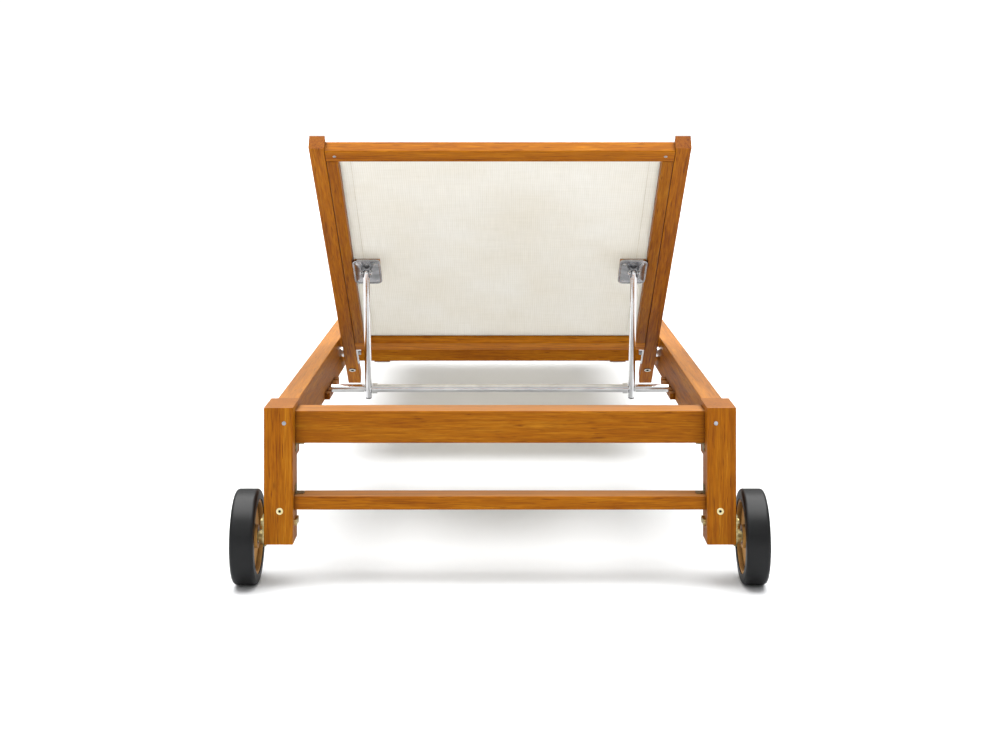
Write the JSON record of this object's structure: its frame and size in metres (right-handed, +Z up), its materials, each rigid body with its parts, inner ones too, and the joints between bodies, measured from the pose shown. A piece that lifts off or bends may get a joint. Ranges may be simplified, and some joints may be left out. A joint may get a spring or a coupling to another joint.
{
  "type": "reclining sun lounger",
  "caption": "Hardwood sun lounger with a sling seat, a reclining sling backrest on a folding steel prop, and wheels at the head end.",
  "frame": {"origin": "on the ground, under the middle of the lounger's whole length and width", "axes": "+X across the lounger to the right of someone standing at the head end, +Y from the head end to the foot end, +Z up"},
  "size_m": [0.7456, 2.095, 0.6203],
  "materials": {
    "hardwood": "oiled, satin",
    "sling_cloth": "woven, matt",
    "stainless": "polished",
    "brass_hardware": "pale yellow zinc, satin",
    "tyre_rubber": "smooth satin rubber",
    "black_plastic": "matt"
  },
  "bodies": {
    "frame": {"head_post_left": "hardwood", "head_post_right": "hardwood", "foot_leg_left": "hardwood", "foot_leg_right": "hardwood", "side_rail_left": "hardwood", "side_rail_right": "hardwood", "head_rail": "hardwood", "head_stretcher": "hardwood", "seat_head_rail": "hardwood", "seat_middle_rail": "hardwood", "foot_rail": "hardwood", "seat_batten_left": "hardwood", "seat_batten_right": "hardwood", "rack_left": "hardwood", "rack_right": "hardwood", "seat_sling": "sling_cloth", "corner_brackets": "brass_hardware", "post_bolts": "brass_hardware", "frame_screws": "stainless", "pivot_bolt_left": "stainless", "pivot_bolt_right": "stainless", "pivot_spacers": "stainless", "axle_left": "brass_hardware", "axle_right": "brass_hardware", "axle_bolts": "brass_hardware", "wheel_caps": "stainless", "axle_spacers": "brass_hardware"},
    "backrest": {"stile_left": "hardwood", "stile_right": "hardwood", "back_top_rail": "hardwood", "back_bottom_rail": "hardwood", "back_batten_left": "hardwood", "back_batten_right": "hardwood", "bracket_block_left": "hardwood", "bracket_block_right": "hardwood", "back_sling": "sling_cloth", "hinge_plate_left": "stainless", "hinge_plate_right": "stainless", "tail_bolts": "stainless", "back_screws": "stainless", "prop_bracket_left": "stainless", "prop_bracket_right": "stainless", "prop_pins": "stainless"},
    "prop": {"strut_left": "stainless", "strut_right": "stainless", "cross_bar": "stainless", "bar_collars": "stainless", "strut_caps": "black_plastic"},
    "wheel_left": {"tyre_left": "tyre_rubber", "wheel_disc_left": "hardwood", "wheel_bush_left": "brass_hardware"},
    "wheel_right": {"tyre_right": "tyre_rubber", "wheel_disc_right": "hardwood", "wheel_bush_right": "brass_hardware"}
  },
  "joints": [
    {"name": "recline", "type": "hinge", "parent": "frame", "child": "backrest", "pos_m": [0, -0.3195, 0.223], "axis": [1, 0, 0], "range_deg": [0, 32]},
    {"name": "prop_swing", "type": "hinge", "parent": "backrest", "child": "prop", "pos_m": [0, -0.60219, 0.39287], "axis": [1, 0, 0], "range_deg": [0, 40.5]},
    {"name": "wheel_left_spin", "type": "hinge", "parent": "frame", "child": "wheel_left", "pos_m": [0, -0.9825, 0.065], "axis": [1, 0, 0], "continuous": true},
    {"name": "wheel_right_spin", "type": "hinge", "parent": "frame", "child": "wheel_right", "pos_m": [0, -0.9825, 0.065], "axis": [1, 0, 0], "continuous": true}
  ],
  "couplings": [
    {"joint": "prop_swing", "follows": "recline", "ratio": 1.25}
  ]
}
